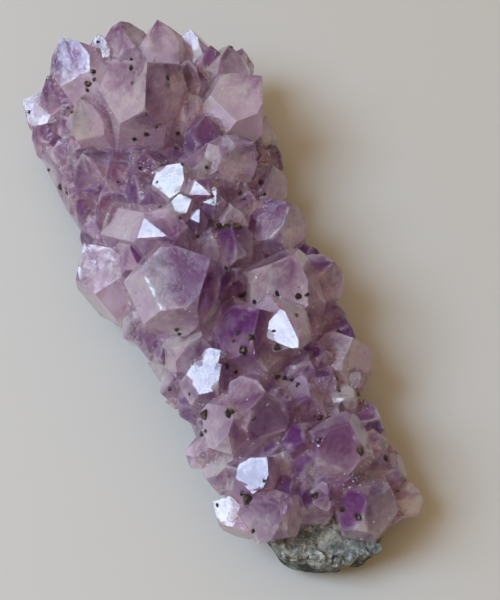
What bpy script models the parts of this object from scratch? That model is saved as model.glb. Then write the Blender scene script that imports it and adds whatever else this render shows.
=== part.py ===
"""Amethyst cluster: a crust of quartz points grown together, standing on a slab of its host rock.

The frame has +Z up, the long side along Y and the origin under the middle of the cluster's box.
Lengths below are millimetres and angles are degrees; MM turns a length into Blender's metres.
"""

import itertools
import math
from collections import namedtuple

import bpy
import numpy as np

MM = 0.001

# The middle of the cluster's box in the lists' own coordinates, which becomes the origin.
CENTRE = (0.2, 0.9)

# Quartz keeps its angles whatever its size: the faces of a point lean this far off its base.
POINT_FACE_ANGLE = math.radians(51.8)
PRISM_SIDES = 6

# The crystals fan out from a line that lies below the slab and is shorter and narrower than it.
FAN_DEPTH = 12.0
FAN_WIDTH_SHARE = 0.30
FAN_LENGTH_SHARE = 0.78

# Where a crystal's root ends: at this height, or this far down its own axis.
ROOT_HEIGHT = 4.0
LONGEST_CRYSTAL = 22.0
STEEPEST_ROOT = 0.25

# Several crystals each hold one face in this common direction, so they flash together.
FLASH = np.array((-0.417, -0.172, 0.893))
FLASH_ACROSS = np.array((0.94, -0.342, 0.0))

# The rock's upper surface: its height along the middle, and how far it falls at sides and ends.
ROCK_MIDDLE_HEIGHT = 12.0
ROCK_SIDE_FALL = 5.0
ROCK_HALF_WIDTH = 20.0
ROCK_END_FALL = 2.5
ROCK_END_START = 38.0
ROCK_END_LENGTH = 20.0
ROCK_UNEVENNESS = 0.7
CELL = 6.0

# Crust and rock are two solids, held apart by this gap.
GAP = 0.3

# The crystals' common base of massive quartz, over the rock.
BASE_THICKNESS = 4.5

CRYSTAL_FIELDS = "x y z radius turn lean toward cut length shift shift_toward"
Crystal = namedtuple("Crystal", CRYSTAL_FIELDS, defaults=(None,) * 6)
FACING_FIELDS = "x y z radius swing cut length lesser tilt azimuth"
Facing = namedtuple("Facing", FACING_FIELDS, defaults=(0.3, None, False, None, None))

# Each row is one crystal: the place of its tip, its radius and the turn about its own axis.
# lean and toward give its axis where it doesn't follow the fan: off the vertical, and the way it leans.
# cut is how far the three lesser faces of the point stand back, as a share of the radius.
FAR_END = (
    Crystal(0.6, 38.7, 34.5, 7.8, 70, 7, -20, 0.36),
    Crystal(-13, 42, 25, 5, 10),
    Crystal(-12, 59, 24, 6.2, 125, 46, 115, 0.25),
    Crystal(-17, 54, 19, 4.6, 20, 30, 130),
    Crystal(-22.7, 48.3, 11, 4.5, 0, 42, 160),
    Crystal(-20.2, 34.3, 14, 4.6, 30, 36, 170),
    Crystal(-15.7, 33.4, 19, 5, 0),
    Crystal(-11.5, 27.6, 21.5, 5, 40, 20, 150),
    Crystal(-8, 22.2, 23.5, 4.4, 75, 24, 140),
    Crystal(-14.9, 23.9, 18.5, 5, 20, 30, 160),
    Crystal(-19.7, 26.6, 15, 4.6, 50, 34, 170),
    Crystal(0, 56, 27, 4.4, 90, 24, 90),
    Crystal(7, 53, 28, 4.4, 30, 24, 80),
    Crystal(-5, 56, 25, 3, 10, 26, 100),
    Crystal(13.7, 53.1, 22, 4.2, 0, 28, 80),
    Crystal(16.4, 47.7, 22, 4, 30, 30, 60),
    Crystal(20, 46.5, 22, 5.2, 40, 34, 50),
    Crystal(24, 50, 15, 2.6, 0, 40, 60),
    Crystal(23.1, 35.4, 24, 6.6, 95, 48, 15, 0.3),
    Crystal(10, 43, 26, 4.2, 10),
    Crystal(7.5, 36, 25, 4.2, 50, 10, 60),
    Crystal(9, 29.5, 25, 3.4, 20),
    Crystal(16, 20, 24.5, 5.4, 115, 48, -10, 0.25),
    Crystal(23.5, 34, 12, 4, 10),
    Crystal(23.5, 28, 9.5, 3.6, 40),
)
HOLLOW = (
    Crystal(-5, 25, 25.5, 4, 10),
    Crystal(6, 20, 24, 4.4, 30),
    Crystal(-14, 18, 21, 4.4, 30),
    Crystal(-6.6, 17, 24, 4.2, 20),
    Crystal(7, 8, 25, 3.6, 30),
    Crystal(11, 17, 21.5, 4.6, 10),
    Crystal(19, 18.5, 18, 5, 60, 25, 10, 0.3),
    Crystal(18, 6, 23, 5.8, 60, 24, -5, 0.25),
    Crystal(12, 11, 22, 4, 10),
    Crystal(5, 3, 26, 4.4, 100),
    Crystal(1, 4, 25, 3.4, 0),
    Crystal(-13, 9, 25, 5, 60, 20, 120),
    Crystal(-21.4, 12.9, 20, 5.8, 25, 38, 125, 0.3),
)
MIDDLE = (
    Crystal(-15, -4, 20, 5.5, 30, 28, 170),
    Crystal(-9, -4, 25, 6.5, 10),
    Crystal(13.5, -7.5, 28.5, 7.4, 112, 18, 30, 0.25),
    Crystal(20, 5.5, 14, 4, 0),
    Crystal(22.5, -6.3, 18, 4.8, 30),
    Crystal(3.5, -16, 28.5, 6.6, 60, 14, 40, 0.3),
    Crystal(3, -6, 24, 3.8, 10),
    Crystal(1, -12, 24, 3.4, 40),
    Crystal(21, -18.5, 15, 4, 10),
    Crystal(19.5, -23, 19, 5.2, 50, 20, 20, 0.3),
    Crystal(13.5, -17, 21, 3, 20),
    Crystal(10, -25, 20, 3.8, 0),
    Crystal(13.5, -24, 20, 3, 40),
    Crystal(-7, -14.5, 22, 5, 10, 20, -30),
    Crystal(-12, -12, 17, 4.6, 40),
    Crystal(-11, -20, 17, 4.4, 10),
)
NEAR_END = (
    Crystal(-1, -31.5, 28, 5.8, 30, 12, -40, 0.2),
    Crystal(-7.5, -33, 25.5, 5.8, 50, 14, -120, 0.2),
    Crystal(-14, -33, 14, 3.6, 0),
    Crystal(7.5, -32, 20.5, 5.4, 10, None, None, 0.3),
    Crystal(16, -31, 13, 3, 0),
    Crystal(11, -41, 26, 5.4, 112, 14, 30, 0.25),
    Crystal(19, -38, 15, 4.4, 0),
    Crystal(16.5, -45, 17, 4, 10),
    Crystal(20, -44, 12, 2.6, 30),
    Crystal(4, -43, 20, 4.4, 30, None, None, 0.3),
    Crystal(2, -38, 19, 4, 10),
    Crystal(-11, -38.5, 18, 4.6, 20),
    Crystal(-5, -49.5, 22, 5.6, 80, 16, -80, 0.2),
    Crystal(2.5, -50, 17, 3.8, 10),
    Crystal(9.9, -53.1, 21, 5.2, 60, 6, -110, 0.25),
    Crystal(9, -48.5, 20, 4.2, 20),
    Crystal(15.5, -50, 14, 3.6, 0),
    Crystal(21.5, -52.5, 10, 3.8, 10, 40, -20),
    Crystal(17, -55, 9, 3, 30),
)
# These are placed by one face of the point, which looks along FLASH, or where tilt and azimuth say.
# The axis follows from the swing, the way the tip points across that face; lesser makes it a lesser face.
FACING = (
    Facing(-2, -5.9, 33.5, 7.6, 26, 0.3, 15, False, 20, 225),
    Facing(-22.9, 54.7, 12.5, 4.8, 150, 0.3, 12),
    Facing(0.9, 19.6, 26.5, 4.2, 50, 0.25),
    Facing(0, 11.5, 26, 2.4, 20, 0.35),
    Facing(0.9, 9.3, 26, 1.7, 65, 0.05),
    Facing(3.6, 10.7, 26.8, 2.6, -25, 0.0, 12),
    Facing(5, 12.4, 26.6, 2.2, 70, 0.1, 10),
    Facing(-6, 2.2, 29.5, 5, -20, 0.12, None, True),
    Facing(7.8, -24.5, 26, 4.6, -45, 0.1),
    Facing(-6, -22.4, 25, 4.0, 32, 0.3, 9),
    Facing(-5.3, -20, 25.5, 2.2, 32),
    Facing(-4.2, -40.9, 22.5, 4.0, 48, 0.25),
    Facing(-14.9, -42.4, 14, 3.4, 150, 0.3, 9),
)
USUAL_CUT = 0.2

# Small crystals fill the gaps: they stand on an uneven lattice and keep below the named ones.
FILL_SPACING = 5.0
FILL_SHIFT = 1.3
FILL_RADIUS = (2.2, 3.4)
FILL_LEAN = 16.0
FILL_RISE = (1.0, 5.0)
FILL_REACH = (1.05, 1.0)
FILL_SEED = 12

# The outlines of the rock and of the crystals' base, read round from the near end: x, y.
ROCK_OUTLINE = (
    (1, -56.8), (5.5, -58.3), (11, -58.2), (15.5, -54.6), (17, -44), (16, -32), (17.5, -20), (19, -6),
    (18, 8), (18.5, 22), (20, 34), (19, 46), (12, 52), (2, 54), (-8, 55), (-16, 52), (-21, 45),
    (-20, 34), (-18, 22), (-17.5, 8), (-15, -6), (-12, -18), (-12, -30), (-11, -42), (-4.5, -54),
)
BASE_OUTLINE = (
    (-7, -50), (2, -51), (10, -54), (17, -51), (19, -42), (18.5, -30), (20, -18), (21, -6),
    (20.5, 8), (21, 22), (22.5, 34), (21, 45), (14, 53), (2, 56), (-8, 57), (-17, 54), (-23, 46),
    (-22, 34), (-20.5, 22), (-20, 8), (-17, -6), (-14, -18), (-14, -30), (-13, -42), (-11, -47),
)
# How far the rock's side stands in or out at each of its levels, from the floor up.
ROCK_LEVELS = ((0.0, -3.2), (1.2, -1.6), (4.0, -0.2), (7.5, 0.0), (20.0, 0.6))
ROCK_POINTS_PER_SIDE = 2
ROCK_ROUGHNESS = 0.9
ROCK_SEED = 5


def unit(vector):
    vector = np.asarray(vector, float)
    return vector / np.linalg.norm(vector)


def rock_height(x, y):
    """Height of the rock's upper surface: a low dome that falls off at sides and ends, with swells."""
    dome = ROCK_MIDDLE_HEIGHT - ROCK_SIDE_FALL * (x / ROCK_HALF_WIDTH) ** 2
    past_end = max(0.0, abs(y) - ROCK_END_START) / ROCK_END_LENGTH
    swell = math.sin(0.45 * x + 1.3) * math.sin(0.31 * y + 0.7) + 0.6 * math.sin(0.23 * x - 0.52 * y)
    return dome - ROCK_END_FALL * past_end**2 + ROCK_UNEVENNESS * swell


def leaning_axis(lean, toward):
    lean, toward = math.radians(lean), math.radians(toward)
    return np.array(
        (math.sin(lean) * math.cos(toward), math.sin(lean) * math.sin(toward), math.cos(lean))
    )


def fan_axis(tip):
    """The axis of a crystal that grows from the fan's line to this tip."""
    root = (FAN_WIDTH_SHARE * tip[0], FAN_LENGTH_SHARE * tip[1], -FAN_DEPTH)
    return unit(np.subtract(tip, root))


def cross_axes(axis):
    """Two directions square to the axis, the first as near to +X as can be."""
    first = unit(np.array((1.0, 0.0, 0.0)) - axis * axis[0])
    return first, np.cross(axis, first)


def facing_axis(facing, swing):
    """Axis and turn of a crystal whose first point face looks along facing."""
    across = unit(FLASH_ACROSS - facing * (FLASH_ACROSS @ facing))
    swing = math.radians(swing)
    sideways = math.cos(swing) * across + math.sin(swing) * np.cross(facing, across)
    axis = math.cos(POINT_FACE_ANGLE) * facing + math.sin(POINT_FACE_ANGLE) * sideways
    first, second = cross_axes(axis)
    return axis, math.degrees(math.atan2(facing @ second, facing @ first))


def crystal_planes(tip, axis, radius, turn, cut, length, shift=(0.0, 0.0, 0.0)):
    """Outward normals and offsets of a quartz point: six prism faces, six point faces and a root face.

    The shift moves the prism sideways under the tip, so that the point is lopsided.
    """
    first, second = cross_axes(axis)
    planes = []
    for side in range(PRISM_SIDES):
        angle = math.radians(turn + side * 360 / PRISM_SIDES)
        outward = math.cos(angle) * first + math.sin(angle) * second
        slanted = math.cos(POINT_FACE_ANGLE) * axis + math.sin(POINT_FACE_ANGLE) * outward
        stands_back = cut * radius if side % 2 else 0.0
        planes.append((slanted, slanted @ tip + stands_back))
        planes.append((outward, outward @ tip + radius + outward @ shift))
    if length is None:
        length = min((tip[2] - ROOT_HEIGHT) / max(axis[2], STEEPEST_ROOT), LONGEST_CRYSTAL)
    planes.append((-axis, -axis @ tip + length))
    return np.array([plane[0] for plane in planes]), np.array([plane[1] for plane in planes])


def named_crystals():
    """Planes and tip of each crystal in the lists above."""
    made = []
    for row in FAR_END + HOLLOW + MIDDLE + NEAR_END:
        tip = np.array((row.x, row.y, row.z), float)
        axis = fan_axis(tip) if row.lean is None else leaning_axis(row.lean, row.toward)
        cut = USUAL_CUT if row.cut is None else row.cut
        shift = (row.shift or 0.0) * leaning_axis(90, row.shift_toward or 0.0)
        made.append((tip, crystal_planes(tip, axis, row.radius, row.turn, cut, row.length, shift)))
    for row in FACING:
        tip = np.array((row.x, row.y, row.z), float)
        facing = unit(FLASH) if row.tilt is None else leaning_axis(row.tilt, row.azimuth)
        axis, turn = facing_axis(facing, row.swing)
        turn += 180 * row.lesser
        made.append((tip, crystal_planes(tip, axis, row.radius, turn, row.cut, row.length)))
    return made


def inside_outline(x, y, outline):
    """Whether a point lies inside a closed outline, by counting the sides that a ray crosses."""
    inside = False
    for (x0, y0), (x1, y1) in zip(outline, outline[1:] + outline[:1]):
        if (y0 > y) != (y1 > y) and x < x0 + (y - y0) * (x1 - x0) / (y1 - y0):
            inside = not inside
    return inside


def covered(point, crystals):
    return any((normals @ point < offsets).all() for _, (normals, offsets) in crystals)


def fill_crystals(named):
    """Small crystals on a shifted lattice, wherever no named crystal already covers their tip."""
    draw = np.random.default_rng(FILL_SEED)
    xs = [x for x, _ in BASE_OUTLINE]
    ys = [y for _, y in BASE_OUTLINE]
    made = []
    rows = range(int((max(ys) - min(ys)) / FILL_SPACING) + 1)
    columns = range(int((max(xs) - min(xs)) / FILL_SPACING) + 1)
    for row, column in itertools.product(rows, columns):
        stagger = 0.5 * FILL_SPACING * (row % 2)
        x = min(xs) + column * FILL_SPACING + stagger + draw.uniform(-FILL_SHIFT, FILL_SHIFT)
        y = min(ys) + row * FILL_SPACING + draw.uniform(-FILL_SHIFT, FILL_SHIFT)
        radius = draw.uniform(*FILL_RADIUS)
        rise = draw.uniform(*FILL_RISE)
        turn = draw.uniform(0, 120)
        lean = draw.uniform(0, FILL_LEAN)
        toward = draw.uniform(0, 360)
        if not inside_outline(x / FILL_REACH[0], y / FILL_REACH[1], BASE_OUTLINE):
            continue
        tip = np.array((x, y, rock_height(x, y) + BASE_THICKNESS + rise))
        if covered(tip, named):
            continue
        axis = unit(fan_axis(tip) + math.tan(math.radians(lean)) * leaning_axis(90, toward))
        made.append((tip, crystal_planes(tip, axis, radius, turn, USUAL_CUT, None)))
    return made


def mesh_object(name, points, faces):
    """A mesh object from points in millimetres and faces that already run counter-clockwise outside."""
    mesh = bpy.data.meshes.new(name)
    placed = MM * (np.asarray(points, float) - (*CENTRE, 0.0))
    mesh.from_pydata(placed.tolist(), [], faces)
    made = bpy.data.objects.new(name, mesh)
    bpy.context.scene.collection.objects.link(made)
    return made


def face_rings(points, normals, offsets):
    """For each plane, the corners that lie on it in their order round its outward normal."""
    rings = []
    for normal, offset in zip(normals, offsets):
        on_plane = np.flatnonzero(abs(points @ normal - offset) < 1e-3)
        if len(on_plane) < 3:
            continue
        first, second = cross_axes(normal)
        spokes = points[on_plane] - points[on_plane].mean(axis=0)
        rings.append(tuple(on_plane[np.argsort(np.arctan2(spokes @ second, spokes @ first))].tolist()))
    return rings


def hide(helper):
    helper.hide_render = True
    helper.display_type = "WIRE"
    return helper


def planes_solid(name, normals, offsets):
    """The solid that the planes bound. Its corners are each meeting of three that no plane cuts off."""
    triples = np.array(list(itertools.combinations(range(len(normals)), 3)))
    systems = normals[triples]
    solvable = abs(np.linalg.det(systems)) > 1e-6
    points = np.linalg.solve(systems[solvable], offsets[triples[solvable]][:, :, None])[:, :, 0]
    kept = (points @ normals.T <= offsets + 1e-6).all(axis=1)
    corners = np.unique(points[kept].round(5), axis=0)
    return mesh_object(name, corners, face_rings(corners, normals, offsets))


def outline_solid(name, levels):
    """A closed solid from rings of the same count, given as (height, points) from the lowest up."""
    count = len(levels[0][1])
    points = [(x, y, height) for height, ring in levels for x, y in ring]
    faces = [tuple(reversed(range(count)))]
    for level in range(len(levels) - 1):
        low, high = level * count, (level + 1) * count
        for corner in range(count):
            after = (corner + 1) % count
            faces.append((low + corner, low + after, high + after, high + corner))
    faces.append(tuple(range((len(levels) - 1) * count, len(levels) * count)))
    return mesh_object(name, points, faces)


def ground_block(name, rise):
    """Everything below the rock's upper surface, raised by rise: a block with that surface on top."""
    xs = np.arange(-36, 36.1, CELL)
    ys = np.arange(-72, 72.1, CELL)
    floor = -10.0
    points = [(x, y, rock_height(x, y) + rise) for y in ys for x in xs]
    under = len(points)
    points += [(x, y, floor) for y in ys for x in xs]
    faces = []
    wide = len(xs)
    for row, column in itertools.product(range(len(ys) - 1), range(wide - 1)):
        a = row * wide + column
        b, c, d = a + 1, a + wide + 1, a + wide
        faces += [(a, b, c), (a, c, d)]
        faces += [(under + c, under + b, under + a), (under + d, under + c, under + a)]
    last_row = (len(ys) - 1) * wide
    for a, b in itertools.pairwise(range(wide)):
        faces.append((under + a, under + b, b, a))
        faces.append((last_row + a, last_row + b, under + last_row + b, under + last_row + a))
    for a, b in itertools.pairwise(range(0, len(points) // 2, wide)):
        faces.append((a, b, under + b, under + a))
        right_a, right_b = a + wide - 1, b + wide - 1
        faces.append((under + right_a, under + right_b, right_b, right_a))
    return hide(mesh_object(name, points, faces))


def add_boolean(target, operation, operand):
    """A live Boolean with the exact solver; the operand is a helper object or a collection of them."""
    boolean = target.modifiers.new(operation.lower(), "BOOLEAN")
    boolean.operation = operation
    boolean.solver = "EXACT"
    if isinstance(operand, bpy.types.Collection):
        boolean.operand_type = "COLLECTION"
        boolean.collection = operand
    else:
        boolean.object = operand


def plain_material(name, colour, roughness):
    material = bpy.data.materials.new(name)
    material.use_nodes = True
    shader = material.node_tree.nodes["Principled BSDF"]
    shader.inputs["Base Color"].default_value = (*colour, 1.0)
    shader.inputs["Roughness"].default_value = roughness
    shader.inputs["Metallic"].default_value = 0.0
    return material


def make_rock():
    """The slab of host rock: its outline with broken sides, flat underneath, cut by its upper surface."""
    draw = np.random.default_rng(ROCK_SEED)
    outline = []
    for (x0, y0), (x1, y1) in zip(ROCK_OUTLINE, ROCK_OUTLINE[1:] + ROCK_OUTLINE[:1]):
        for step in range(ROCK_POINTS_PER_SIDE):
            share = step / ROCK_POINTS_PER_SIDE
            outline.append((x0 + share * (x1 - x0), y0 + share * (y1 - y0)))
    levels = []
    for height, outward in ROCK_LEVELS:
        ring = []
        for x, y in outline:
            away = unit((x, 0.3 * y))
            shift = outward + draw.uniform(-ROCK_ROUGHNESS, ROCK_ROUGHNESS)
            ring.append((x + shift * away[0], y + shift * away[1]))
        levels.append((height, ring))
    rock = outline_solid("basalt_matrix", levels)
    add_boolean(rock, "INTERSECT", ground_block("ground_under_gap", -GAP / 2))
    rock.data.materials.append(plain_material("grey_green_basalt", (0.13, 0.15, 0.14), 0.85))
    return rock


def make_crust():
    """The crust: base and crystals united in one solid, then cut along the rock's upper surface."""
    drawn_in = [(0.8 * x, 0.92 * y) for x, y in BASE_OUTLINE]
    levels = [(0.0, BASE_OUTLINE), (6.0, BASE_OUTLINE), (20.0, drawn_in)]
    crust = outline_solid("amethyst_crystals", levels)
    add_boolean(crust, "INTERSECT", ground_block("ground_under_crystals", BASE_THICKNESS))
    named = named_crystals()
    points = bpy.data.collections.new("single_crystals")
    bpy.context.scene.collection.children.link(points)
    for number, (_, (normals, offsets)) in enumerate(named + fill_crystals(named)):
        single = hide(planes_solid(f"crystal_{number + 1}", normals, offsets))
        bpy.context.scene.collection.objects.unlink(single)
        points.objects.link(single)
    points.hide_render = True
    add_boolean(crust, "UNION", points)
    add_boolean(crust, "DIFFERENCE", ground_block("ground_over_gap", GAP / 2))
    crust.data.materials.append(plain_material("amethyst", (0.42, 0.30, 0.50), 0.15))
    print(f"{len(points.objects)} crystals in one crust")
    return crust


def main():
    for old in list(bpy.data.objects):
        bpy.data.objects.remove(old)
    make_rock()
    make_crust()


main()
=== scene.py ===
# %% [markdown]
# # Amethyst cluster
#
# An amethyst cluster is a crust of quartz points that grew side by side on the wall of a gas bubble in
# volcanic rock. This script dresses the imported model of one: it gives the crust its violet, see-through
# quartz, breaks up the surface of the rock, and sets the dark grains of goethite on the faces.
#
# Every length below is in millimetres, because that is how one measures a hand specimen. Blender works in
# metres, so a length is multiplied by MM on its way into a mesh or a material.

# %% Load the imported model
import itertools
import math

import bpy
import numpy as np
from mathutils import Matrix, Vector
from mathutils.bvhtree import BVHTree


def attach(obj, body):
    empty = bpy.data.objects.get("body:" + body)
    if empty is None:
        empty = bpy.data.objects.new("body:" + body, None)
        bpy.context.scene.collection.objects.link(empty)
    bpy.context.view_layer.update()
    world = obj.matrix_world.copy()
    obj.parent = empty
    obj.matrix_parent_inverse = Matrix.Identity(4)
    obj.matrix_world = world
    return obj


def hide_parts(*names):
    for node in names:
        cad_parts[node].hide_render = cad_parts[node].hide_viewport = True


MM = 0.001

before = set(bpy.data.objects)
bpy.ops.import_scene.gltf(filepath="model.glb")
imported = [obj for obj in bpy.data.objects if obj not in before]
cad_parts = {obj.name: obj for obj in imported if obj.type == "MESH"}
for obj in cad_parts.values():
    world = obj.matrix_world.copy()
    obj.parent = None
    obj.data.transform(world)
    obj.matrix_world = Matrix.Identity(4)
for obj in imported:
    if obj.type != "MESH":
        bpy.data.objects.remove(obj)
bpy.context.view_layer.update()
print("packed solids:", sorted(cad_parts))

# %% [markdown]
# ## The camera
#
# The picture was taken from steeply above the near end. A camera is easiest to repeat as a direction and a
# distance from the point that it looks at, so those are the values here, and its place follows from them.

# %% Set up the camera
PICTURE_WIDTH, PICTURE_HEIGHT = 500, 600
CAMERA_AZIMUTH = math.radians(-20)
CAMERA_ELEVATION = math.radians(62)
CAMERA_DISTANCE = 270.0
CAMERA_TARGET = np.array((4.8, -7.9, 15.0))
LENS_LENGTH = 85.0
SENSOR_HEIGHT = 36.0


def camera_axes(azimuth, elevation):
    """Right, up and backward directions of a level camera that stands at this azimuth and elevation."""
    level = math.cos(elevation)
    back = np.array((math.sin(azimuth) * level, -math.cos(azimuth) * level, math.sin(elevation)))
    right = np.array((math.cos(azimuth), math.sin(azimuth), 0.0))
    return right, np.cross(back, right), back


VIEW_RIGHT, VIEW_UP, VIEW_BACK = camera_axes(CAMERA_AZIMUTH, CAMERA_ELEVATION)
CAMERA_PLACE = CAMERA_TARGET + CAMERA_DISTANCE * VIEW_BACK


def add_camera():
    camera = bpy.data.cameras.new("camera")
    camera.lens = LENS_LENGTH
    camera.sensor_fit = "VERTICAL"
    camera.sensor_height = SENSOR_HEIGHT
    holder = bpy.data.objects.new("camera", camera)
    bpy.context.scene.collection.objects.link(holder)
    holder.location = Vector(CAMERA_PLACE * MM)
    holder.rotation_euler = Vector(VIEW_BACK).to_track_quat("Z", "Y").to_euler()
    bpy.context.scene.camera = holder


def sight_line(column, row):
    """The direction from the camera through a spot of the picture."""
    scale = SENSOR_HEIGHT / LENS_LENGTH / PICTURE_HEIGHT
    across, down = (column - PICTURE_WIDTH / 2) * scale, (row - PICTURE_HEIGHT / 2) * scale
    line = across * VIEW_RIGHT - down * VIEW_UP - VIEW_BACK
    return line / np.linalg.norm(line)


add_camera()
print("camera at", CAMERA_PLACE.round(1))

# %% [markdown]
# ## Meshes from arrays
#
# A surface is kept as a numpy array of points and an array of triangles. These helpers turn such arrays
# into a Blender object and back, and store a number or a direction with each point or face of a mesh,
# under a name that an Attribute node in a material can ask for.

# %% Helpers for meshes
MOST_HALVINGS = 9


def place_piece(name, mesh):
    piece = bpy.data.objects.new(name, mesh)
    bpy.context.scene.collection.objects.link(piece)
    return piece


def mesh_piece(name, points, faces):
    """An object at the origin from points in millimetres and faces as an array of corner numbers."""
    mesh = bpy.data.meshes.new(name)
    mesh.from_pydata((np.asarray(points) * MM).tolist(), [], np.asarray(faces).tolist())
    return place_piece(name, mesh)


def store(mesh, name, values, domain):
    """Stores one number or one direction with each element of the domain, which is POINT or FACE."""
    values = np.asarray(values, dtype=np.float32)
    if values.ndim == 1:
        mesh.attributes.new(name, "FLOAT", domain).data.foreach_set("value", values)
    else:
        mesh.attributes.new(name, "FLOAT_VECTOR", domain).data.foreach_set("vector", values.ravel())


def welded_surface(node):
    """A node's points and triangles, with the loose triangles joined where their corners meet."""
    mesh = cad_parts[node].data
    points, triangles = points_of(mesh), triangles_of(mesh)
    _, kept, joined = np.unique(points.round(3), axis=0, return_index=True, return_inverse=True)
    triangles = joined.ravel()[triangles]
    whole = (triangles != np.roll(triangles, 1, axis=1)).all(axis=1)
    return points[kept], triangles[whole]


def refined(points, triangles, longest):
    """Halves each edge over this length and repeats. Also gives the first triangle that each one is from.

    A triangle with one halved edge becomes two, with two halved edges three, and with all three four.
    """
    origin = np.arange(len(triangles))
    for _ in range(MOST_HALVINGS):
        sides = np.sort(triangles[:, ((0, 1), (1, 2), (2, 0))], axis=2).reshape(-1, 2)
        edges, edge_of = np.unique(sides, axis=0, return_inverse=True)
        edge_of = edge_of.reshape(-1, 3)
        long_edge = np.linalg.norm(points[edges[:, 0]] - points[edges[:, 1]], axis=1) > longest
        if not long_edge.any():
            break
        middle = len(points) + np.cumsum(long_edge) - 1
        points = np.concatenate((points, points[edges[long_edge]].mean(axis=1)))
        halved = long_edge[edge_of]
        count = halved.sum(axis=1)
        first = np.where(count == 1, halved.argmax(axis=1), 0)
        first = np.where(count == 2, ((~halved).argmax(axis=1) + 1) % 3, first)
        turned = (first[:, None] + (0, 1, 2)) % 3
        corner = np.take_along_axis(triangles, turned, axis=1)
        half = middle[np.take_along_axis(edge_of, turned, axis=1)]
        a, b, c, ab, bc, ca = np.column_stack((corner, half)).T
        patterns = (
            (count == 0, ((a, b, c),)),
            (count == 1, ((a, ab, c), (ab, b, c))),
            (count == 2, ((ab, b, bc), (a, ab, bc), (a, bc, c))),
            (count == 3, ((a, ab, ca), (ab, b, bc), (ca, bc, c), (ab, bc, ca))),
        )
        pieces = [(np.column_stack(new)[who], origin[who]) for who, made in patterns for new in made]
        triangles = np.concatenate([piece[0] for piece in pieces])
        origin = np.concatenate([piece[1] for piece in pieces])
    return points, triangles, origin


def points_of(mesh):
    points = np.empty(3 * len(mesh.vertices))
    mesh.vertices.foreach_get("co", points)
    return points.reshape(-1, 3) / MM


def triangles_of(mesh):
    triangles = np.empty(3 * len(mesh.polygons), int)
    mesh.polygons.foreach_get("vertices", triangles)
    return triangles.reshape(-1, 3)


def face_facts(points, triangles):
    """The normal, the middle and the area of each triangle."""
    a, b, c = (points[triangles[:, corner]] for corner in range(3))
    across = np.cross(b - a, c - a)
    doubled = np.linalg.norm(across, axis=1)
    return across / np.maximum(doubled, 1e-9)[:, None], (a + b + c) / 3, doubled / 2


def lattice_noise(points, size, seed):
    """Smooth noise from -1 to 1: random numbers at the corners of cubes of this size, eased between."""
    numbers = np.random.default_rng(seed).uniform(-1, 1, 4096)
    low = np.floor(points / size).astype(np.int64)
    share = points / size - low
    share = share * share * (3 - 2 * share)
    total = np.zeros(len(points))
    for corner in itertools.product((0, 1), repeat=3):
        value = numbers[(low + corner) @ (7385, 1934, 8349) % 4096]
        total += value * np.where(corner, share, 1 - share).prod(axis=1)
    return total


# %% [markdown]
# ## Which face belongs to which crystal
#
# Amethyst is coloured in zones: the points are violet and the roots are pale. To colour each crystal by the
# distance from its own tip, the material has to know that tip. Quartz gives it away, because three of the
# faces of every point meet at the tip at the same angles on every crystal in the world, 51.8 degrees off
# the base. So the tips are found from the angles between the faces, as a mineralogist would find them.

# %% Find the tips and give each face its own
POINT_FACE_ANGLE = math.radians(51.8)
ANGLE_SLACK = 0.012
LEAST_AREA = 1e-3


def find_tips(points, triangles):
    """Tips and axes: corners where three faces meet whose normals make the angle of a quartz point."""
    normals, _, area = face_facts(points, triangles)
    between = 1.5 * math.cos(POINT_FACE_ANGLE) ** 2 - 0.5
    faces_at = [[] for _ in points]
    for face in np.flatnonzero(area > LEAST_AREA):
        for corner in triangles[face]:
            faces_at[corner].append(face)
    tips, axes = [], []
    for corner, faces in enumerate(faces_at):
        around = normals[faces]
        right = abs(around @ around.T - between) < ANGLE_SLACK / 2
        threes = np.argwhere(right[:, :, None] & right[:, None, :] & right[None, :, :])
        if len(threes):
            axis = around[threes[0]].sum(axis=0)
            tips.append(points[corner])
            axes.append(axis / np.linalg.norm(axis))
    return np.array(tips), np.array(axes)


def own_tips(points, triangles, tips, axes):
    """For each face, the nearest tip whose point or prism it can be a face of."""
    normals, middles, _ = face_facts(points, triangles)
    leaning = normals @ axes.T
    fits = (abs(leaning - math.cos(POINT_FACE_ANGLE)) < ANGLE_SLACK) | (abs(leaning) < ANGLE_SLACK)
    stands_off = (normals * middles).sum(axis=1)[:, None] - normals @ tips.T
    distance = np.linalg.norm(middles[:, None] - tips[None], axis=2)
    distance[~(fits & (stands_off > -0.05) & (stands_off < 9))] += 1000
    return distance.argmin(axis=1)


def face_planes(points, triangles):
    """For each triangle, the number of the plane that it lies in with the rest of its crystal face."""
    normals, middles, _ = face_facts(points, triangles)
    offsets = (normals * middles).sum(axis=1)
    rounded = np.column_stack((normals * 100, offsets * 5)).round().astype(int)
    return np.unique(rounded, axis=0, return_inverse=True)[1].ravel()


coarse_points, coarse_triangles = welded_surface("amethyst_crystals")
tips, axes = find_tips(coarse_points, coarse_triangles)
owner = own_tips(coarse_points, coarse_triangles, tips, axes)
plane = face_planes(coarse_points, coarse_triangles)
print(f"{len(tips)} tips and {plane.max() + 1} crystal faces found")
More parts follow.
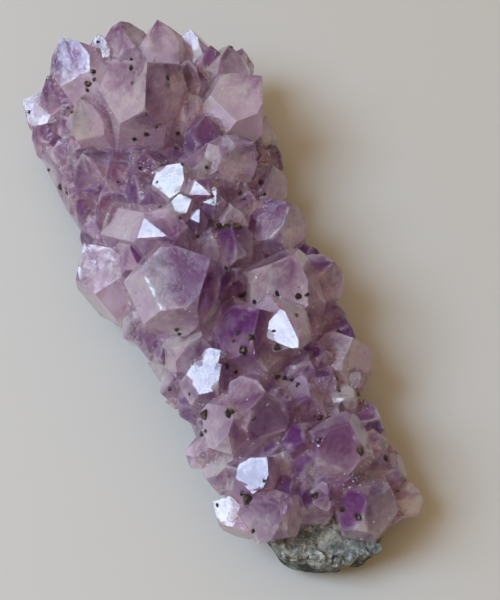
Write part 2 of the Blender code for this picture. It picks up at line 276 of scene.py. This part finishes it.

# %% [markdown]
# ## How deep each crystal's violet is
#
# No two crystals are equally violet. Each gets a tone from -1 for nearly colourless to 1 for deep violet,
# and each of its faces one more, partly because the iron settled unevenly under the faces and partly as
# painted light and shade. Where the picture shows a crystal well, its tone is the one seen there: the list
# says where in the picture to look and how dark it is, so the light and shade on each listed face is painted
# in as paler or deeper violet. All other tones are drawn at random.

# %% Tones of the crystals and their faces
# Painted light and shade: each listed tone is how dark the face looks, light and shade included, taken as its
# depth of violet.
TONES_SEEN = (
    (118, 90, -1.0), (168, 90, 0.8), (145, 135, 0.5), (75, 60, 0.5), (85, 120, -0.6), (240, 80, 0.0),
    (215, 60, -0.8), (190, 45, -0.7), (245, 140, 0.9), (222, 140, 0.3), (262, 130, -1.0), (250, 185, -0.2),
    (300, 240, -0.9), (325, 280, -0.7), (285, 215, 0.5), (280, 258, 0.8), (260, 280, 0.0), (170, 325, 0.2),
    (215, 290, 0.9), (180, 275, 0.9), (110, 310, -0.8), (100, 265, -0.4), (120, 225, -0.6), (153, 225, 0.2),
    (245, 385, -0.5), (268, 420, 0.7), (225, 430, -0.4), (275, 510, -0.2), (345, 515, 0.6), (375, 515, 0.4),
    (408, 505, -1.0), (340, 440, 0.6), (312, 470, -1.0), (345, 395, -0.9), (345, 355, -0.5), (360, 365, -0.8),
)
CRYSTAL_SHARE = 0.6

draw = np.random.default_rng(3)
crystal_tone_and_shade = draw.uniform(-1, 1, len(tips))
plane_tone_and_shade = draw.uniform(-1, 1, plane.max() + 1)
coarse_tree = BVHTree.FromPolygons(coarse_points.tolist(), coarse_triangles.tolist())
for column, row, tone in TONES_SEEN:
    face = coarse_tree.ray_cast(Vector(CAMERA_PLACE), Vector(sight_line(column, row)))[2]
    if face is not None:
        crystal_tone_and_shade[owner[face]] = CRYSTAL_SHARE * tone
        plane_tone_and_shade[plane[face]] = tone
print(f"{len(TONES_SEEN)} tones from the picture, {len(tips) + len(plane_tone_and_shade)} in all")

# %% [markdown]
# ## Edges, chips and growth hillocks
#
# No natural crystal has ruled edges. The edges are nicked, and the faces are a little hilly from growth.
# Both are shapes and not only shading, so the crust is split until no edge is over a millimetre. Its points
# are then moved: those on an outer edge a little way in, the others up or down by a few hundredths.
#
# The distance of each point from the nearest outer edge is kept as well. It spreads over the mesh from the
# edges like a wave: a point's distance is the least of its neighbours' plus the way to them. The material
# uses it for the clear rims around the violet cores.

# %% Measure distances from edges and valleys
CRUST_EDGE = 0.95
CREASE_ANGLE = math.radians(9)
SPREAD_STEPS = 14


def creases(points, triangles):
    """Pairs of points joined by an edge, and whether the edge is an outer one, a valley or neither."""
    normals, middles, _ = face_facts(points, triangles)
    sides = np.concatenate([triangles[:, (0, 1)], triangles[:, (1, 2)], triangles[:, (2, 0)]])
    faces = np.tile(np.arange(len(triangles)), 3)
    order = np.lexsort((sides.max(axis=1), sides.min(axis=1)))
    pairs = np.sort(sides, axis=1)[order][::2]
    first, second = faces[order][::2], faces[order][1::2]
    bent = (normals[first] * normals[second]).sum(axis=1) < math.cos(CREASE_ANGLE)
    outer = (normals[first] * (middles[second] - middles[first])).sum(axis=1) < 0
    return pairs, bent & outer, bent & ~outer


def distance_from(start, points, pairs):
    """The way along the mesh from each point to the nearest start point, in millimetres."""
    length = np.linalg.norm(points[pairs[:, 0]] - points[pairs[:, 1]], axis=1)
    distance = np.where(start, 0.0, 99.0)
    for _ in range(SPREAD_STEPS):
        np.minimum.at(distance, pairs[:, 0], distance[pairs[:, 1]] + length)
        np.minimum.at(distance, pairs[:, 1], distance[pairs[:, 0]] + length)
    return distance


points, triangles, origin = refined(coarse_points, coarse_triangles, CRUST_EDGE)
pairs, outer, valley = creases(points, triangles)
on_outer = np.zeros(len(points), bool)
on_outer[pairs[outer]] = True
on_valley = np.zeros(len(points), bool)
on_valley[pairs[valley]] = True
from_edge = distance_from(on_outer, points, pairs)
from_valley = distance_from(on_valley, points, pairs)
print(f"crust of {len(triangles)} triangles, {on_outer.sum()} points on outer edges")

# %% Nick the edges and raise the hillocks
CHIP_DEPTH = 0.2
HILLOCK_HEIGHT = 0.02


def point_normals(points, triangles):
    """Each point's normal: the sum of its triangles' normals, each as long as its area."""
    normals, _, area = face_facts(points, triangles)
    total = np.zeros_like(points)
    for corner in range(3):
        np.add.at(total, triangles[:, corner], normals * area[:, None])
    return total / np.maximum(np.linalg.norm(total, axis=1), 1e-9)[:, None]


outward = point_normals(points, triangles)
nick = np.clip(lattice_noise(points, 1.1, 5) + lattice_noise(points, 4.0, 6) - 0.25, 0, 1)
hillock = lattice_noise(points, 2.2, 7) + 0.6 * lattice_noise(points, 1.1, 8)
hillock *= np.clip(np.minimum(from_edge, from_valley) / 1.5, 0, 1)
moved = HILLOCK_HEIGHT * hillock - CHIP_DEPTH * nick * on_outer
crust = mesh_piece("amethyst_crust", points + moved[:, None] * outward, triangles)
store(crust.data, "tip", (tips * MM)[owner][origin], "FACE")
store(crust.data, "axis", axes[owner][origin], "FACE")
store(crust.data, "crystal_tone_and_shade", crystal_tone_and_shade[owner][origin], "FACE")
store(crust.data, "face_tone_and_shade", plane_tone_and_shade[plane][origin], "FACE")
store(crust.data, "from_edge", from_edge, "POINT")
store(crust.data, "from_valley", from_valley, "POINT")
crust.data.shade_smooth()
crust.data.set_sharp_from_angle(angle=math.radians(14))
print(f"edges nicked by up to {CHIP_DEPTH} mm")

# %% [markdown]
# ## A small kit for materials
#
# A material is a tree of nodes. These helpers keep the trees short: one adds a node with its inputs, others
# do arithmetic, ease a number between two limits, mix two colours, and lay noise over a place.

# %% Helpers for materials


class Tree:
    """A node tree with short calls for adding nodes and joining them."""

    def __init__(self, tree):
        self.tree = tree

    def feed(self, socket, value):
        if isinstance(value, bpy.types.NodeSocket):
            self.tree.links.new(value, socket)
        else:
            socket.default_value = value

    def node(self, kind, inputs=None, **settings):
        made = self.tree.nodes.new(kind)
        for name, value in settings.items():
            setattr(made, name, value)
        for name, value in (inputs or {}).items():
            self.feed(made.inputs[name], value)
        return made

    def maths(self, operation, *values):
        return self.node("ShaderNodeMath", dict(enumerate(values)), operation=operation).outputs[0]

    def vector(self, operation, *values, output=0):
        made = self.node("ShaderNodeVectorMath", dict(enumerate(values)), operation=operation)
        return made.outputs[output]

    def between(self, value, low, high, to_low=0.0, to_high=1.0):
        """Eases from to_low to to_high as the value goes from low to high."""
        inputs = {"Value": value, "From Min": low, "From Max": high, "To Min": to_low, "To Max": to_high}
        return self.node("ShaderNodeMapRange", inputs, interpolation_type="SMOOTHSTEP").outputs["Result"]

    def mix(self, share, first, second):
        made = self.node("ShaderNodeMix", data_type="RGBA")
        for socket, value in ((0, share), (6, first), (7, second)):
            self.feed(made.inputs[socket], value)
        return made.outputs[2]

    def noise(self, place, size, detail=2.0, roughness=0.5):
        """Noise whose lumps are about size millimetres apart."""
        inputs = {"Vector": place, "Scale": 1 / (size * MM), "Detail": detail, "Roughness": roughness}
        return self.node("ShaderNodeTexNoise", inputs).outputs["Fac"]

    def stored(self, name, output="Fac"):
        return self.node("ShaderNodeAttribute", attribute_name=name).outputs[output]

    def bump(self, height, distance, strength=1.0, under=None):
        """A normal from a height between 0 and 1 that stands for distance in millimetres, on one under it."""
        inputs = {"Height": height, "Distance": distance * MM, "Strength": strength}
        if under is not None:
            inputs["Normal"] = under
        return self.node("ShaderNodeBump", inputs).outputs["Normal"]


def new_material(name, **values):
    """A material with one Principled BSDF: its tree and its shader. The values are its sockets'."""
    material = bpy.data.materials.new(name)
    material.use_nodes = True
    shader = material.node_tree.nodes["Principled BSDF"]
    for socket, value in values.items():
        shader.inputs[socket.replace("_", " ")].default_value = value
    return material, Tree(material.node_tree), shader


def object_place(tree):
    return tree.node("ShaderNodeTexCoord").outputs["Object"]


# %% [markdown]
# ## Amethyst
#
# Quartz bends light with an index of 1.544, and iron in it drinks the green light, which leaves violet.
# The colour sits near the tips and fades to a milky pale lilac at the root, in places with a clearer rim
# along the edges. So the tint follows the depth below the tip, the distance from the nearest edge and the
# tones, which also hold painted light and shade, all blurred by cloudy noise. The hollows between the
# crystals are coloured a darker brown. Transmission, index and absorption are plain numbers on the shader,
# as the same quartz runs through the whole crust.

# %% The violet, the milk and the brown hollows
MILKY = (0.98, 0.92, 0.98, 1)
LILAC = (0.93, 0.71, 0.93, 1)
SMOKY = (0.80, 0.80, 0.76, 1)
VIOLET = (0.20, 0.045, 0.26, 1)
HOLLOW_BROWN = (0.50, 0.28, 0.32, 1)
PEPPER = (0.05, 0.03, 0.025, 1)


def depth_below_tip(tree, place):
    """How far down its crystal's axis a point lies, in millimetres."""
    from_tip = tree.vector("SUBTRACT", tree.stored("tip", "Vector"), place)
    depth = tree.vector("DOT_PRODUCT", from_tip, tree.stored("axis", "Vector"), output=1)
    return tree.maths("DIVIDE", depth, MM)


def violet_sectors(tree, place):
    """Noise that is the same all along each line from the tip, so it makes wedges that meet at the tip."""
    outward = tree.vector("NORMALIZE", tree.vector("SUBTRACT", place, tree.stored("tip", "Vector")))
    inputs = {"Vector": tree.vector("ADD", outward, tree.stored("axis", "Vector")), "Scale": 1.6}
    return tree.node("ShaderNodeTexNoise", {**inputs, "Detail": 1.0}).outputs["Fac"]


def quartz_colour(tree, place):
    cloud = tree.maths("SUBTRACT", tree.noise(place, 8.0, 4.0, 0.6), 0.5)
    wisps = tree.maths("SUBTRACT", tree.noise(place, 1.7, 5.0, 0.7), 0.5)
    crystal_tone_and_shade = tree.stored("crystal_tone_and_shade")
    face_tone_and_shade = tree.stored("face_tone_and_shade")
    depth = tree.maths("MULTIPLY_ADD", cloud, 14.0, depth_below_tip(tree, place))
    depth = tree.maths("MULTIPLY_ADD", wisps, 9.0, depth)
    depth = tree.maths("MULTIPLY_ADD", tree.maths("SUBTRACT", violet_sectors(tree, place), 0.5), 16.0, depth)
    # The tones deepen or pale the violet; the listed ones carry painted light and shade as well as zoning.
    depth = tree.maths("MULTIPLY_ADD", crystal_tone_and_shade, -6.0, depth)
    depth = tree.maths("MULTIPLY_ADD", face_tone_and_shade, -3.0, depth)
    near_tip = tree.between(depth, -3.5, 10.5, 1.0, 0.0)

    edge_place = tree.maths("MULTIPLY_ADD", wisps, 2.5, tree.stored("from_edge"))
    rim = tree.between(edge_place, 0.1, 1.1, 1.0, 0.0)
    rim_strength = tree.between(tree.noise(place, 4.0), 0.45, 0.65, 0.1, 0.7)
    bands = tree.maths("SINE", tree.maths("MULTIPLY", edge_place, 5.2))
    clear = tree.maths("MULTIPLY", rim, rim_strength)
    clear = tree.maths("MULTIPLY_ADD", bands, 0.05, clear)
    violet = tree.maths("MULTIPLY", near_tip, tree.maths("SUBTRACT", 1.0, clear))

    milk = tree.between(tree.maths("ADD", cloud, wisps), -0.06, 0.20)
    root = tree.mix(milk, LILAC, MILKY)
    smoke = tree.between(tree.noise(place, 9.0, 2.0), 0.44, 0.58, 0.0, 0.8)
    both_tones = tree.maths("ADD", crystal_tone_and_shade, face_tone_and_shade)
    smoke = tree.maths("MULTIPLY", smoke, tree.between(both_tones, -1.1, -0.6, 1.0, 0.0))
    root = tree.mix(smoke, root, SMOKY)
    colour = tree.mix(violet, root, VIOLET)

    # The hollows between the crystals are coloured a darker brown, in patches, near the valleys.
    hollow = tree.maths("MULTIPLY_ADD", wisps, 3.0, tree.stored("from_valley"))
    brown_hollow = tree.between(hollow, 0.0, 1.6, 0.65, 0.0)
    brown_hollow = tree.maths("MULTIPLY", brown_hollow, tree.between(tree.noise(place, 7.0), 0.40, 0.55))
    colour = tree.mix(brown_hollow, colour, HOLLOW_BROWN)

    veil = tree.maths("ABSOLUTE", tree.maths("SUBTRACT", tree.noise(place, 9.0, 2.0, 0.5), 0.5))
    veil = tree.between(veil, 0.0, 0.008, 0.35, 0.0)
    colour = tree.mix(tree.maths("MULTIPLY", veil, milk), colour, MILKY)

    dots = tree.between(tree.noise(place, 0.45, 2.0), 0.66, 0.72)
    sown = tree.between(tree.noise(place, 6.0), 0.50, 0.62, 0.0, 0.85)
    return tree.mix(tree.maths("MULTIPLY", dots, sown), colour, PEPPER)


# %% [markdown]
# ## The surface of the quartz
#
# The faces of the points are bright, with shallow pits. The faces of the prisms have fine lines across them,
# square to the crystal's axis, which are growth steps. In the hollows the surface is a druse: a field of
# facets under a millimetre across, which glitter as they catch the light. Chebychev distances to scattered
# points are flat-sided pyramids, so they give such facets from one texture node.

# %% Make the amethyst


def quartz_relief(tree, place):
    pits = tree.bump(tree.noise(place, 0.6, 4.0, 0.65), 0.05, 0.6)

    upright = tree.node("ShaderNodeNewGeometry").outputs["Normal"]
    upright = tree.vector("DOT_PRODUCT", upright, tree.stored("axis", "Vector"), output=1)
    prism = tree.between(tree.maths("ABSOLUTE", upright), 0.15, 0.35, 1.0, 0.0)
    steps = tree.maths("MULTIPLY_ADD", tree.noise(place, 2.0), 9.0, depth_below_tip(tree, place))
    steps = tree.maths("SINE", tree.maths("MULTIPLY", steps, 11.0))
    steps = tree.bump(tree.maths("MULTIPLY", steps, prism), 0.012, 1.0, pits)

    scattered = {"Vector": place, "Scale": 1 / (0.8 * MM), "Randomness": 1.0}
    facets = tree.node("ShaderNodeTexVoronoi", scattered, distance="CHEBYCHEV").outputs["Distance"]
    patch = tree.between(tree.noise(place, 3.0, 3.0), 0.47, 0.60)
    in_hollow = tree.between(tree.stored("from_valley"), 0.5, 2.5, 1.0, 0.04)
    druse = tree.maths("MULTIPLY", tree.maths("MULTIPLY", patch, in_hollow), facets)
    return tree.bump(druse, 0.4, 1.0, steps)


def make_amethyst():
    material, tree, shader = new_material(
        "amethyst",
        Transmission_Weight=0.66,
        IOR=1.544,
        Coat_Weight=0.6,
        Coat_Roughness=0.02,
        Coat_IOR=1.5,
    )
    place = object_place(tree)
    tree.feed(shader.inputs["Base Color"], quartz_colour(tree, place))
    frost = tree.between(tree.noise(place, 3.0, 3.0), 0.42, 0.62, 0.04, 0.26)
    tree.feed(shader.inputs["Roughness"], frost)
    tree.feed(shader.inputs["Normal"], quartz_relief(tree, place))
    tree.feed(shader.inputs["Coat Normal"], tree.bump(tree.noise(place, 0.9, 2.0), 0.02, 0.5))

    absorption = tree.node("ShaderNodeVolumeAbsorption")
    absorption.inputs["Color"].default_value = (0.80, 0.55, 0.82, 1)
    absorption.inputs["Density"].default_value = 7.0
    output = material.node_tree.nodes["Material Output"]
    tree.feed(output.inputs["Volume"], absorption.outputs[0])
    return material


crust.data.materials.append(make_amethyst())
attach(crust, "root")
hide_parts("amethyst_crystals")

# %% [markdown]
# ## The rock
#
# The crust grew on basalt that water has altered to a dull grey green. It broke with a hackly surface, and
# it is full of small pale grains. Between it and the crystals lies a rind of pale chalcedony, which throws
# light back into them. The solid's surface is split finely and pushed in by noise of three sizes, and one
# corner of the near end stands out as in the picture. The underside stays flat, as the piece rests on it.

# %% Break up the rock's surface
ROCK_EDGE = 0.85
ROCK_HOLLOWS = ((5.0, 1.2), (1.8, 0.7), (0.8, 0.25))
SWELL = 2.8
SWELL_TOWARD = (-0.65, -0.76, 0.0)
FLAT_FOOT = 1.0

points, triangles, _ = refined(*welded_surface("basalt_matrix"), ROCK_EDGE)
outward = point_normals(points, triangles)
hollow = sum(
    depth * (0.5 + 0.5 * lattice_noise(points, size, 20 + number))
    for number, (size, depth) in enumerate(ROCK_HOLLOWS)
)
near_end = np.clip(-points[:, 1] / 10 - 4.5, 0, 1)
moved = SWELL * near_end * np.clip(outward @ SWELL_TOWARD, 0, 1) - hollow
moved *= np.clip(points[:, 2] / FLAT_FOOT, 0, 1)
rock = mesh_piece("basalt_slab", points + moved[:, None] * outward, triangles)
print(f"rock of {len(triangles)} triangles, moved by {moved.min():.1f} to {moved.max():.1f} mm")

# %% Make the basalt
BASALT_GREEN = (0.19, 0.215, 0.205, 1)
BASALT_DARK = (0.028, 0.032, 0.032, 1)
PALE_GRAIN = (0.55, 0.56, 0.54, 1)
RIND = (0.85, 0.79, 0.84, 1)
RIND_HALF_SIZE = (17.0, 51.0, 1000.0)


def make_basalt():
    material, tree, shader = new_material("basalt", Roughness=0.85)
    place = object_place(tree)
    height = tree.maths("DIVIDE", tree.node("ShaderNodeSeparateXYZ", {0: place}).outputs["Z"], MM)
    # Painted shade: the rock is darker, with fewer pale grains, towards its foot and lighter higher up.
    painted_shade_by_height = tree.between(height, 2.0, 11.0, -0.05, 0.10)
    patches = tree.maths("ADD", tree.noise(place, 3.0, 5.0, 0.75), painted_shade_by_height)
    stone = tree.mix(tree.between(patches, 0.42, 0.60), BASALT_DARK, BASALT_GREEN)
    grains = tree.maths("ADD", tree.noise(place, 1.6, 5.0, 0.8), painted_shade_by_height)
    stone = tree.mix(tree.between(grains, 0.52, 0.72), stone, PALE_GRAIN)
    facing = tree.node("ShaderNodeSeparateXYZ", {0: tree.node("ShaderNodeNewGeometry").outputs["Normal"]})
    half_size = Vector(RIND_HALF_SIZE) * MM
    outward = tree.vector("LENGTH", tree.vector("DIVIDE", place, half_size), output=1)
    rind = tree.maths("MULTIPLY", tree.between(facing.outputs["Z"], 0.5, 0.8), tree.between(height, 4, 6))
    rind = tree.maths("MULTIPLY", rind, tree.between(outward, 0.92, 1.0, 1.0, 0.0))
    tree.feed(shader.inputs["Base Color"], tree.mix(rind, stone, RIND))
    tree.feed(shader.inputs["Normal"], tree.bump(tree.noise(place, 0.5, 4.0, 0.65), 0.35))
    return material


rock.data.materials.append(make_basalt())
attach(rock, "root")
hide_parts("basalt_matrix")

# %% [markdown]
# ## Goethite grains
#
# Small dark brown tufts of goethite grew on the crystals last of all. Each is a lumpy ball of a few dozen
# faces, half sunk in the face that it sits on. Those that the picture shows are placed where it shows them:
# a line from the camera through the spot is followed until it meets the crust. The sides turned away from
# the camera have as many again, at random, because such grains grow all round a piece.

# %% Place the goethite
SPECKS_SEEN = (
    (93, 72, 0.6), (94, 80, 0.5), (88, 84, 0.7), (87, 90, 0.5), (131, 60, 0.5), (131, 68, 0.5), (132, 83, 0.5),
    (168, 78, 0.5), (72, 112, 0.4), (68, 108, 0.3), (29, 112, 0.4), (49, 125, 0.4), (145, 114, 0.6),
    (156, 127, 0.5), (159, 124, 0.4), (146, 134, 0.6), (134, 139, 0.6), (98, 42, 0.4), (178, 133, 0.5),
    (176, 149, 0.5), (162, 165, 0.4), (182, 164, 0.4), (140, 168, 0.4), (207, 167, 0.5), (193, 179, 0.4),
    (49, 170, 0.4), (60, 187, 0.7), (67, 193, 0.5), (118, 182, 0.3), (157, 182, 0.3), (160, 207, 0.4),
    (180, 218, 0.4), (198, 236, 0.3), (219, 225, 0.8), (226, 227, 0.8), (237, 226, 0.6), (240, 227, 0.4),
    (261, 182, 0.6), (264, 194, 0.5), (240, 193, 0.4), (245, 199, 0.4), (226, 268, 0.4), (227, 275, 0.4),
    (243, 295, 0.7), (254, 302, 0.5), (277, 294, 0.5), (299, 297, 0.8), (307, 295, 0.5), (296, 315, 0.4),
    (245, 317, 0.4), (238, 333, 0.6), (233, 341, 0.5), (251, 337, 0.6), (243, 350, 1.0), (277, 347, 1.0),
    (274, 331, 0.4), (177, 329, 0.6), (180, 334, 0.4), (339, 332, 0.5), (227, 366, 0.5), (236, 372, 0.4),
    (170, 389, 0.5), (189, 394, 0.4), (204, 415, 1.1), (230, 412, 0.8), (254, 419, 0.5), (178, 417, 0.4),
    (185, 435, 0.4), (188, 438, 0.3), (202, 434, 0.6), (206, 431, 0.4), (278, 377, 0.6), (285, 378, 0.6),
    (292, 380, 0.6), (298, 385, 0.5), (337, 379, 0.4), (339, 391, 0.4), (320, 418, 0.6), (318, 440, 0.7),
    (360, 451, 0.9), (386, 458, 0.6), (242, 493, 0.6), (247, 500, 1.0), (217, 505, 0.4), (264, 481, 0.5),
    (253, 531, 0.5), (315, 495, 0.7), (343, 509, 0.6), (358, 517, 0.8), (330, 500, 0.3), (398, 491, 0.3),
)
SPECKS_UNSEEN = 45
LUMP_RINGS, LUMP_SIDES = 4, 7
SUNK = 0.25


def lumps(middles, normals, radii, seed):
    """Closed lumpy balls: rings of points from pole to pole, each moved in or out at random."""
    numbers = np.random.default_rng(seed)
    polar = np.linspace(0, math.pi, LUMP_RINGS + 1)[1:-1]
    turn = np.linspace(0, 2 * math.pi, LUMP_SIDES, endpoint=False)
    polar, turn = (grid.ravel() for grid in np.meshgrid(polar, turn, indexing="ij"))
    ball = np.column_stack((np.sin(polar) * np.cos(turn), np.sin(polar) * np.sin(turn), np.cos(polar)))
    ball = np.concatenate((ball, ((0, 0, 1), (0, 0, -1))))
    swell = numbers.uniform(0.65, 1.3, (len(middles), len(ball), 1))
    stretch = numbers.uniform(0.8, 1.25, (len(middles), 1, 3))
    points = middles[:, None] + radii[:, None, None] * swell * stretch * ball - (
        SUNK * radii[:, None] * normals
    )[:, None]
    ring = np.arange(LUMP_SIDES)
    after = (ring + 1) % LUMP_SIDES
    faces = []
    for level in range(LUMP_RINGS - 2):
        low, high = level * LUMP_SIDES, (level + 1) * LUMP_SIDES
        faces.append(np.column_stack((low + ring, high + ring, high + after)))
        faces.append(np.column_stack((low + ring, high + after, low + after)))
    last = (LUMP_RINGS - 2) * LUMP_SIDES
    top, foot = len(ball) - 2, len(ball) - 1
    faces.append(np.column_stack((np.full(LUMP_SIDES, top), ring, after)))
    faces.append(np.column_stack((last + after, last + ring, np.full(LUMP_SIDES, foot))))
    faces = np.concatenate(faces)
    starts = np.arange(len(middles)) * len(ball)
    return points.reshape(-1, 3), (faces[None] + starts[:, None, None]).reshape(-1, 3)


crust_points, crust_triangles = points_of(crust.data), triangles_of(crust.data)
crust_tree = BVHTree.FromPolygons(crust_points.tolist(), crust_triangles.tolist())


def meeting_points(starts, directions):
    """Where lines first meet the crust, and the crust's normal there. Lines that miss are left out."""
    met = [crust_tree.ray_cast(Vector(start), Vector(line)) for start, line in zip(starts, directions)]
    hits = [number for number, (place, _, _, _) in enumerate(met) if place is not None]
    return hits, np.array([met[hit][0] for hit in hits]), np.array([met[hit][1] for hit in hits])


def scattered(count, weights, seed):
    """Random places on the crust and its normals there. A face gets places by its area and its weight."""
    numbers = np.random.default_rng(seed)
    normals, _, area = face_facts(crust_points, crust_triangles)
    share = np.cumsum(area * weights)
    chosen = np.searchsorted(share, numbers.uniform(0, share[-1], count))
    corners = crust_points[crust_triangles[chosen]]
    parts = numbers.dirichlet((1, 1, 1), count)
    return (parts[:, :, None] * corners).sum(axis=1), normals[chosen]


seen = np.array(SPECKS_SEEN)
lines = np.array([sight_line(column, row) for column, row, _ in SPECKS_SEEN])
hits, places, normals = meeting_points(np.tile(CAMERA_PLACE, (len(lines), 1)), lines)
crust_normals, crust_middles, _ = face_facts(crust_points, crust_triangles)
turned_away = (crust_normals @ VIEW_BACK < -0.3) & (crust_normals[:, 2] > -0.4)
far_places, far_normals = scattered(SPECKS_UNSEEN, turned_away, 11)
far_radii = np.random.default_rng(12).uniform(0.4, 0.9, SPECKS_UNSEEN)
places, normals = np.concatenate((places, far_places)), np.concatenate((normals, far_normals))
lump_points, lump_faces = lumps(places, normals, np.concatenate((seen[hits, 2], far_radii)), 9)
goethite = mesh_piece("goethite_grains", lump_points, lump_faces)
print(f"{len(hits)} of {len(seen)} grains placed as seen, and {SPECKS_UNSEEN} on the sides turned away")

# %% Make the goethite
DARK_BROWN = (0.012, 0.008, 0.006, 1)
GOLDEN_BROWN = (0.16, 0.08, 0.02, 1)


def make_goethite():
    material, tree, shader = new_material("goethite", Roughness=0.4, Coat_Weight=0.2)
    place = object_place(tree)
    gold = tree.between(tree.noise(place, 0.9, 2.0), 0.52, 0.66)
    tree.feed(shader.inputs["Base Color"], tree.mix(gold, DARK_BROWN, GOLDEN_BROWN))
    tree.feed(shader.inputs["Normal"], tree.bump(tree.noise(place, 0.2, 2.0), 0.1))
    return material


goethite.data.materials.append(make_goethite())
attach(goethite, "root")

# %% [markdown]
# ## A sprinkling of tiny quartz
#
# A last breath of growth left tiny quartz crystals on the big ones, a quarter of a millimetre across. They
# are the white dots and glints in the picture. Each is a six-sided double pyramid, and they lie in patches,
# most of them near the hollows.

# %% Sprinkle the tiny quartz
TINY_COUNT = 1500
TINY_RADIUS = (0.06, 0.22)
TINY_LENGTH = 1.5


def double_pyramids(middles, axes, radii):
    """Closed six-sided double pyramids: a ring of six points and a pole at each end of the axis."""
    turn = np.linspace(0, 2 * math.pi, 6, endpoint=False)
    ring = np.column_stack((np.cos(turn), np.sin(turn), np.zeros(6)))
    form = np.concatenate((ring, ((0, 0, TINY_LENGTH), (0, 0, -TINY_LENGTH)))) * radii[:, None, None]
    first = np.cross(axes, (0.6, 0.64, 0.48))
    first /= np.linalg.norm(first, axis=1)[:, None]
    frames = np.stack((first, np.cross(axes, first), axes), axis=1)
    points = middles[:, None] + form @ frames
    corner = np.arange(6)
    after = (corner + 1) % 6
    upper = np.column_stack((corner, after, np.full(6, 6)))
    lower = np.column_stack((after, corner, np.full(6, 7)))
    starts = np.arange(len(middles)) * form.shape[1]
    return points.reshape(-1, 3), (np.concatenate((upper, lower)) + starts[:, None, None]).reshape(-1, 3)


patches = np.clip(lattice_noise(crust_middles, 4.5, 31) + 0.7 * lattice_noise(crust_middles, 1.8, 32), 0, 1)
near_hollow = 0.15 + np.exp(-from_valley[crust_triangles].mean(axis=1) / 1.2)
places, normals = scattered(TINY_COUNT, patches * near_hollow * (crust_normals[:, 2] > -0.3), 33)
numbers = np.random.default_rng(34)
axes_tiny = normals + numbers.normal(0, 0.6, normals.shape)
axes_tiny /= np.linalg.norm(axes_tiny, axis=1)[:, None]
radii = TINY_RADIUS[0] + (TINY_RADIUS[1] - TINY_RADIUS[0]) * numbers.uniform(0, 1, TINY_COUNT) ** 2.5
tiny_points, tiny_faces = double_pyramids(places, axes_tiny, radii)
tiny = mesh_piece("tiny_quartz", tiny_points, tiny_faces)
material, _, _ = new_material(
    "clear_quartz",
    Base_Color=(0.95, 0.92, 0.96, 1),
    Roughness=0.06,
    Transmission_Weight=0.5,
    IOR=1.544,
)
tiny.data.materials.append(material)
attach(tiny, "root")
print(f"{TINY_COUNT} tiny crystals sprinkled")

# %% [markdown]
# ## Floor and light
#
# A window high on the left gives cool light and the bright flashes in the faces that mirror it. The rest of
# the room is warm and dim, which is why the shadow is brown, and it is dimmer the further it is from the
# window, so that faces that look different ways mirror it unequally.

# %% Floor, light and the finish
WINDOW_DIRECTION = (-0.615, 0.122, 0.780)
ROOM_STRENGTH = (0.10, 0.67)


def add_floor():
    corners = [(-900, -900, 0), (900, -900, 0), (900, 900, 0), (-900, 900, 0)]
    floor = mesh_piece("floor", corners, [(0, 1, 2, 3)])
    material, tree, shader = new_material("pale_floor", Roughness=0.7)
    shader.inputs["Base Color"].default_value = (0.59, 0.58, 0.57, 1)
    floor.data.materials.append(material)


def add_light(name, direction, distance, size, power, colour):
    lamp = bpy.data.lights.new(name, "AREA")
    lamp.shape = "RECTANGLE"
    lamp.size, lamp.size_y = size
    lamp.energy = power
    lamp.color = colour
    holder = bpy.data.objects.new(name, lamp)
    bpy.context.scene.collection.objects.link(holder)
    direction = Vector(direction).normalized()
    holder.location = Vector(CAMERA_TARGET * MM) + distance * direction
    holder.rotation_euler = direction.to_track_quat("Z", "Y").to_euler()


def object_direction(tree):
    """The direction in which the background is seen."""
    return tree.node("ShaderNodeTexCoord").outputs["Generated"]


add_floor()
add_light("window", WINDOW_DIRECTION, 0.8, (0.42, 0.42), 5.9, (0.57, 0.77, 1.0))
world = bpy.data.worlds.new("soft_light")
bpy.context.scene.world = world
world.use_nodes = True
sky = Tree(world.node_tree)
toward_window = sky.vector("DOT_PRODUCT", object_direction(sky), WINDOW_DIRECTION, output=1)
backdrop = world.node_tree.nodes["Background"]
backdrop.inputs["Color"].default_value = (1.0, 0.73, 0.41, 1)
sky.feed(backdrop.inputs["Strength"], sky.between(toward_window, -0.6, 1.0, *ROOM_STRENGTH))
bpy.context.scene.view_settings.view_transform = "Standard"
